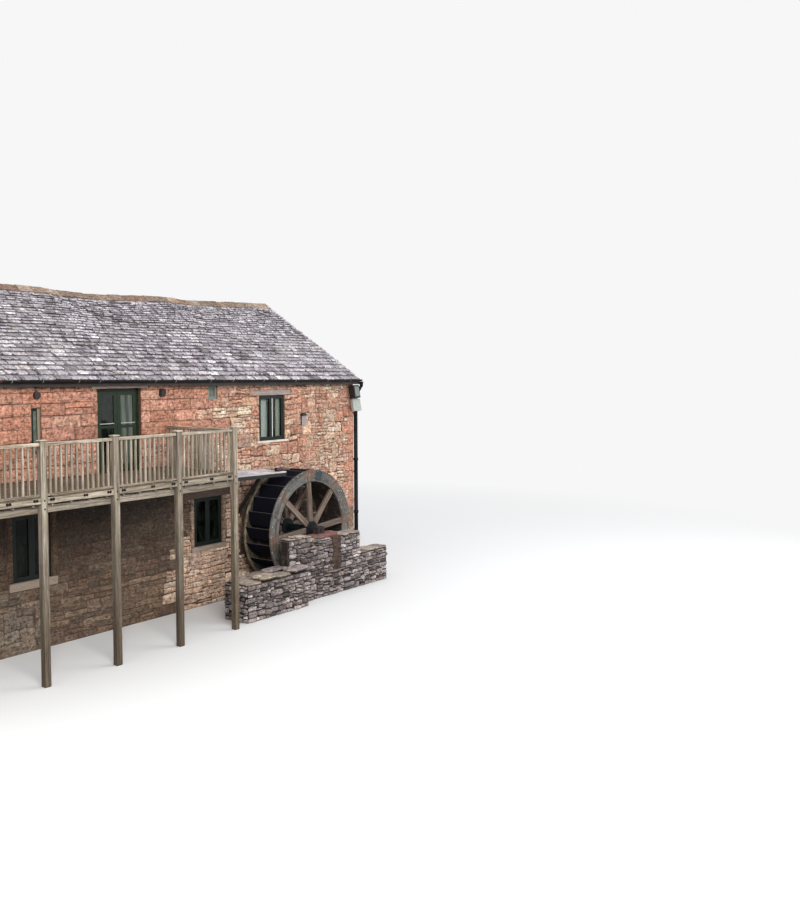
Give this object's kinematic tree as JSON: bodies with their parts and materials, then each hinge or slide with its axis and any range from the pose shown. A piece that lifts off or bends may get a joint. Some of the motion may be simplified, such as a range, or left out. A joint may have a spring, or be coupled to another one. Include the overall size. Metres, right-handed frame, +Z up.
{
  "type": "watermill",
  "caption": "Two-storey stone mill house with a slate gable roof, a timber balcony on posts and a turning overshot waterwheel fed by a launder.",
  "frame": {"origin": "under the middle of the ground floor, on the level it rests on", "axes": "+X along the front wall towards the waterwheel's end, -Y out of the front wall, +Z up"},
  "size_m": [15.9206, 11.3913, 9.1508],
  "materials": {
    "floor_stone": "worn",
    "floor_wood": "worn",
    "wall_stone": "weathered",
    "slate": "weathered",
    "ridge_clay": "weathered",
    "black_iron": "painted",
    "green_paint": "painted",
    "glass": "clear",
    "trim_stone": "weathered",
    "lintel_wood": "weathered",
    "deck_wood": "weathered",
    "wheel_iron": "painted",
    "wheel_wood": "weathered",
    "bucket_iron": "matte",
    "sole_wood": "wet",
    "launder_wood": "weathered",
    "rubble": "weathered",
    "upright_stone": "stained",
    "red_beam": "rusty",
    "lamp_grey": "satin",
    "white_plastic": "matte"
  },
  "bodies": {
    "building": {"ground_floor": "floor_stone", "upper_floor": "floor_wood", "front_wall": "wall_stone", "back_wall": "wall_stone", "left_gable_wall": "wall_stone", "right_gable_wall": "wall_stone", "roof_front_slope": "slate", "roof_back_slope": "slate", "ridge_tiles": "ridge_clay", "gutters": "black_iron", "downpipes": "black_iron", "door_frame": "green_paint", "door_leaves": "green_paint", "window_frames": "green_paint", "window_glass": "glass", "window_sills": "trim_stone", "lintels": "lintel_wood", "deck_boards": "deck_wood", "deck_joists": "deck_wood", "deck_beam": "deck_wood", "deck_fascia": "deck_wood", "deck_posts": "deck_wood", "railing_bay_1": "deck_wood", "railing_bay_2": "deck_wood", "railing_bay_3": "deck_wood", "railing_bay_4": "deck_wood", "end_railing_left": "deck_wood", "end_railing_right": "deck_wood", "launder": "launder_wood", "launder_brackets": "black_iron", "pit_wall": "rubble", "bearing_pier": "rubble", "outer_pier": "rubble", "upright_stone": "upright_stone", "bearing_beam": "red_beam", "axle_bearings": "wheel_iron", "cap_slabs": "trim_stone", "floodlight": "lamp_grey", "alarm_box": "white_plastic", "wall_lamps": "lamp_grey"},
    "wheel": {"wheel_axle": "wheel_iron", "wheel_hubs": "wheel_iron", "front_rim": "wheel_wood", "rear_rim": "wheel_wood", "front_spokes": "wheel_wood", "rear_spokes": "wheel_wood", "wheel_buckets": "bucket_iron", "wheel_soles": "sole_wood"}
  },
  "joints": [
    {"name": "wheel_spin", "type": "hinge", "parent": "building", "child": "wheel", "pos_m": [3.96, -5.7, 1.92], "axis": [0, 1, 0], "continuous": true}
  ]
}
